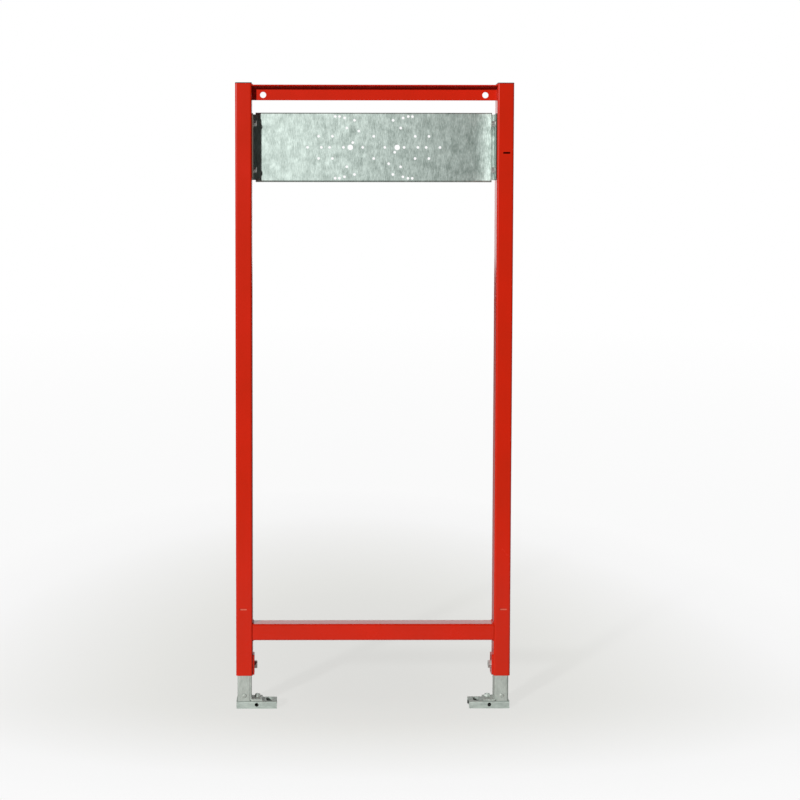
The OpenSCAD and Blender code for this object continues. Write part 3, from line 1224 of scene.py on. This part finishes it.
@dataclass(frozen=True)
class PaleFloor(Finish):
    """Pale studio floor: grey under the object and fading to white away from it.

    The tones are pairs of distance and level, and the lower ones are warm.
    """

    centre_y: float = 0.1
    width: float = 0.62
    behind: float = 0.235
    tones: tuple[tuple[float, float], ...] = (
        (0.05, 0.775), (0.2, 0.815), (0.27, 0.84), (0.55, 0.95), (1.36, 0.965), (2.9, 0.985),
        (5.0, 1.0))
    warm_below: float = 0.9
    warm_blue: float = 0.97
    shading: float = 0.14
    fading: tuple[float, float] = (0.22, 0.7)
    front_end: tuple[float, float] = (-2.2, -1.2)
    front_grey: Colour = (0.04, 0.04, 0.04, 1.0)
    grey: Colour = (0.8, 0.8, 0.79, 1.0)
    nook: float = 0.05
    nook_range: tuple[float, float] = (0.2, 0.5)

    def nodes(self, graph: Graph) -> Node:
        """Camera rays see the white background through a film tinted by the tone and by painted
        shade in nooks, with a share of real shading, so a leg that is pushed out below the floor
        still shows. Shadow rays pass, and other rays see a grey floor that ends in front, as a
        studio sweep does.

        Args:
            graph: Node tree of the material.

        Returns:
            The shader.
        """
        tint = graph.add(
            "VectorMath", {0: self.tone(graph), 1: self.openness(graph)}, operation="MULTIPLY")
        film = graph.add("BsdfTransparent", {"Color": tint.outputs[0]})
        near = graph.span(graph.xyz()["Y"], 0.0, 1.0, *self.front_end)
        grey = graph.ramp(near, ((0.0, self.front_grey), (1.0, self.grey)))
        matt = graph.add("BsdfDiffuse", {"Color": grey}).outputs[0]
        keep = graph.span(self.distance(graph), self.shading, 0.0, *self.fading)
        seen = graph.add("MixShader", {"Fac": keep, 1: film.outputs[0], 2: matt}).outputs[0]
        ray = graph.add("LightPath").outputs
        clear = graph.add("BsdfTransparent").outputs[0]
        other = graph.add("MixShader", {"Fac": ray["Is Shadow Ray"], 1: matt, 2: clear})
        return graph.add(
            "MixShader", {"Fac": ray["Is Camera Ray"], 1: other.outputs[0], 2: seen})

    def distance(self, graph: Graph) -> Socket:
        """Distance from the object, which grows faster in front of it than behind.

        Args:
            graph: Node tree of the material.

        Returns:
            The distance socket.
        """
        spot = graph.place(centre=(0.0, self.centre_y, 0.0))
        way = graph.add("SeparateXYZ", {"Vector": spot}).outputs
        across = graph.math("MULTIPLY", way["X"], self.width)
        along = graph.math("MAXIMUM", graph.math("MULTIPLY", way["Y"], self.behind),
                           graph.math("MULTIPLY", way["Y"], -1.0))
        flat = graph.add("CombineXYZ", {"X": across, "Y": along}).outputs[0]
        return graph.add("VectorMath", {0: flat}, operation="LENGTH").outputs["Value"]

    def tone(self, graph: Graph) -> Socket:
        """Tone that rises from grey at the object to white far away.

        Args:
            graph: Node tree of the material.

        Returns:
            The colour socket.
        """
        last = self.tones[-1][0]
        stops = []
        for at, level in self.tones:
            blue = self.warm_blue * level if level < self.warm_below else level
            stops.append((at / last, (level, level, blue, 1.0)))
        return graph.ramp(graph.span(self.distance(graph), 0.0, 1.0, 0.0, last), stops)

    def openness(self, graph: Graph) -> Socket:
        """Painted shade from ambient occlusion: falls to nothing in closed nooks, such as inside
        a foot.
        """
        sky = graph.add("AmbientOcclusion", {"Distance": self.nook}, samples=8).outputs["AO"]
        return graph.span(sky, 0.0, 1.0, *self.nook_range)


@dataclass
class Studio:
    """Floor, surroundings, lamp and camera."""

    key_from: tuple[float, float, float] = (-0.437, -0.864, 0.2506)
    key_aim: tuple[float, float, float] = (-0.1, 0.0, -0.2)
    key_distance: float = 16.0
    key_size: float = 1.0
    key_power: float = 2560.0
    front_fill: float = 0.03
    back_fill: float = 0.75
    back_range: tuple[float, float] = (-0.1, 0.5)
    zenith: float = 0.35
    zenith_range: tuple[float, float] = (0.25, 0.8)
    floor_size: float = 60.0
    lens: float = 77.0
    eye: tuple[float, float, float] = (-0.133, -3.1041, -0.3095)
    tilt: float = 3.5
    yaw: float = 0.392
    roll: float = 0.033
    shift: tuple[float, float] = (0.11, -0.035)
    view_end: float = 100.0

    def build(self) -> None:
        """Sets up everything round the object."""
        self.floor()
        self.surroundings()
        self.lamp()
        self.camera()
        bpy.context.scene.view_settings.view_transform = "Standard"

    def floor(self) -> None:
        """Floor under the soles."""
        low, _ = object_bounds()
        bpy.ops.mesh.primitive_plane_add(size=self.floor_size, location=(0, 0, low.z))
        floor = bpy.context.object
        floor.name = "studio_floor"
        bpy.ops.object.transform_apply(location=True, rotation=True, scale=True)
        dress(floor, PaleFloor("pale_floor"))
        floor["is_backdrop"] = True

    def surroundings(self) -> None:
        """White to the camera; to other rays bright behind the object, where metal mirrors it
        in full, dim in front and dark below the floor.
        """
        world = bpy.data.worlds.new("studio_surroundings")
        bpy.context.scene.world = world
        graph = Graph(world)
        way = graph.add("SeparateXYZ", {"Vector": graph.add("TexCoord").outputs["Generated"]})
        ray = graph.add("LightPath").outputs
        mirrored = graph.math("MAXIMUM", ray["Is Glossy Ray"], ray["Is Transmission Ray"])
        top = graph.span(mirrored, self.back_fill, 1.0)
        half = graph.span(way.outputs["Y"], 0.0, 1.0, *self.back_range)
        behind = graph.math("MAXIMUM", graph.math("MULTIPLY", half, top), self.front_fill)
        above = graph.span(way.outputs["Z"], 1.0, self.zenith, *self.zenith_range)
        level = graph.math("MULTIPLY", behind, above)
        over_floor = graph.math("GREATER_THAN", way.outputs["Z"], 0.0)
        level = graph.math("MULTIPLY", level, over_floor)
        strength = graph.math("MAXIMUM", level, ray["Is Camera Ray"])
        white = {"Color": (1.0, 1.0, 1.0, 1.0), "Strength": strength}
        graph.surface(graph.add("Background", white))

    def lamp(self) -> None:
        """Hard key lamp from the left and a little above."""
        data = bpy.data.lights.new("key", "AREA")
        data.energy = self.key_power
        data.size = self.key_size
        data.shape = "DISK"
        key = bpy.data.objects.new("key", data)
        bpy.context.scene.collection.objects.link(key)
        direction = Vector(self.key_from).normalized()
        key.location = Vector(self.key_aim) + self.key_distance * direction
        key.rotation_euler = direction.to_track_quat("Z", "Y").to_euler()

    def camera(self) -> None:
        """Long lens from above the middle, with the small shift that the framing needs."""
        data = bpy.data.cameras.new("front_camera")
        data.lens = self.lens
        data.shift_x, data.shift_y = self.shift
        data.clip_end = self.view_end
        camera = bpy.data.objects.new("front_camera", data)
        bpy.context.scene.collection.objects.link(camera)
        camera.location = self.eye
        angles = (90 - self.tilt, 0, -self.yaw)
        camera.rotation_euler = Euler([math.radians(angle) for angle in angles])
        camera.rotation_euler.rotate_axis("Z", math.radians(self.roll))
        bpy.context.scene.camera = camera


def main() -> None:
    """Builds the sub-assemblies and the studio."""
    logging.basicConfig(level=logging.INFO, format="%(name)s: %(message)s")
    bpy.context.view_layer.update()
    bpy.ops.object.select_all(action="DESELECT")
    WeldedFrame().build()
    MountingPlate().build()
    ClampScrews().build()
    for side in Side:
        Leg(side).build()
    Studio().build()


if __name__ == "__main__":
    main()
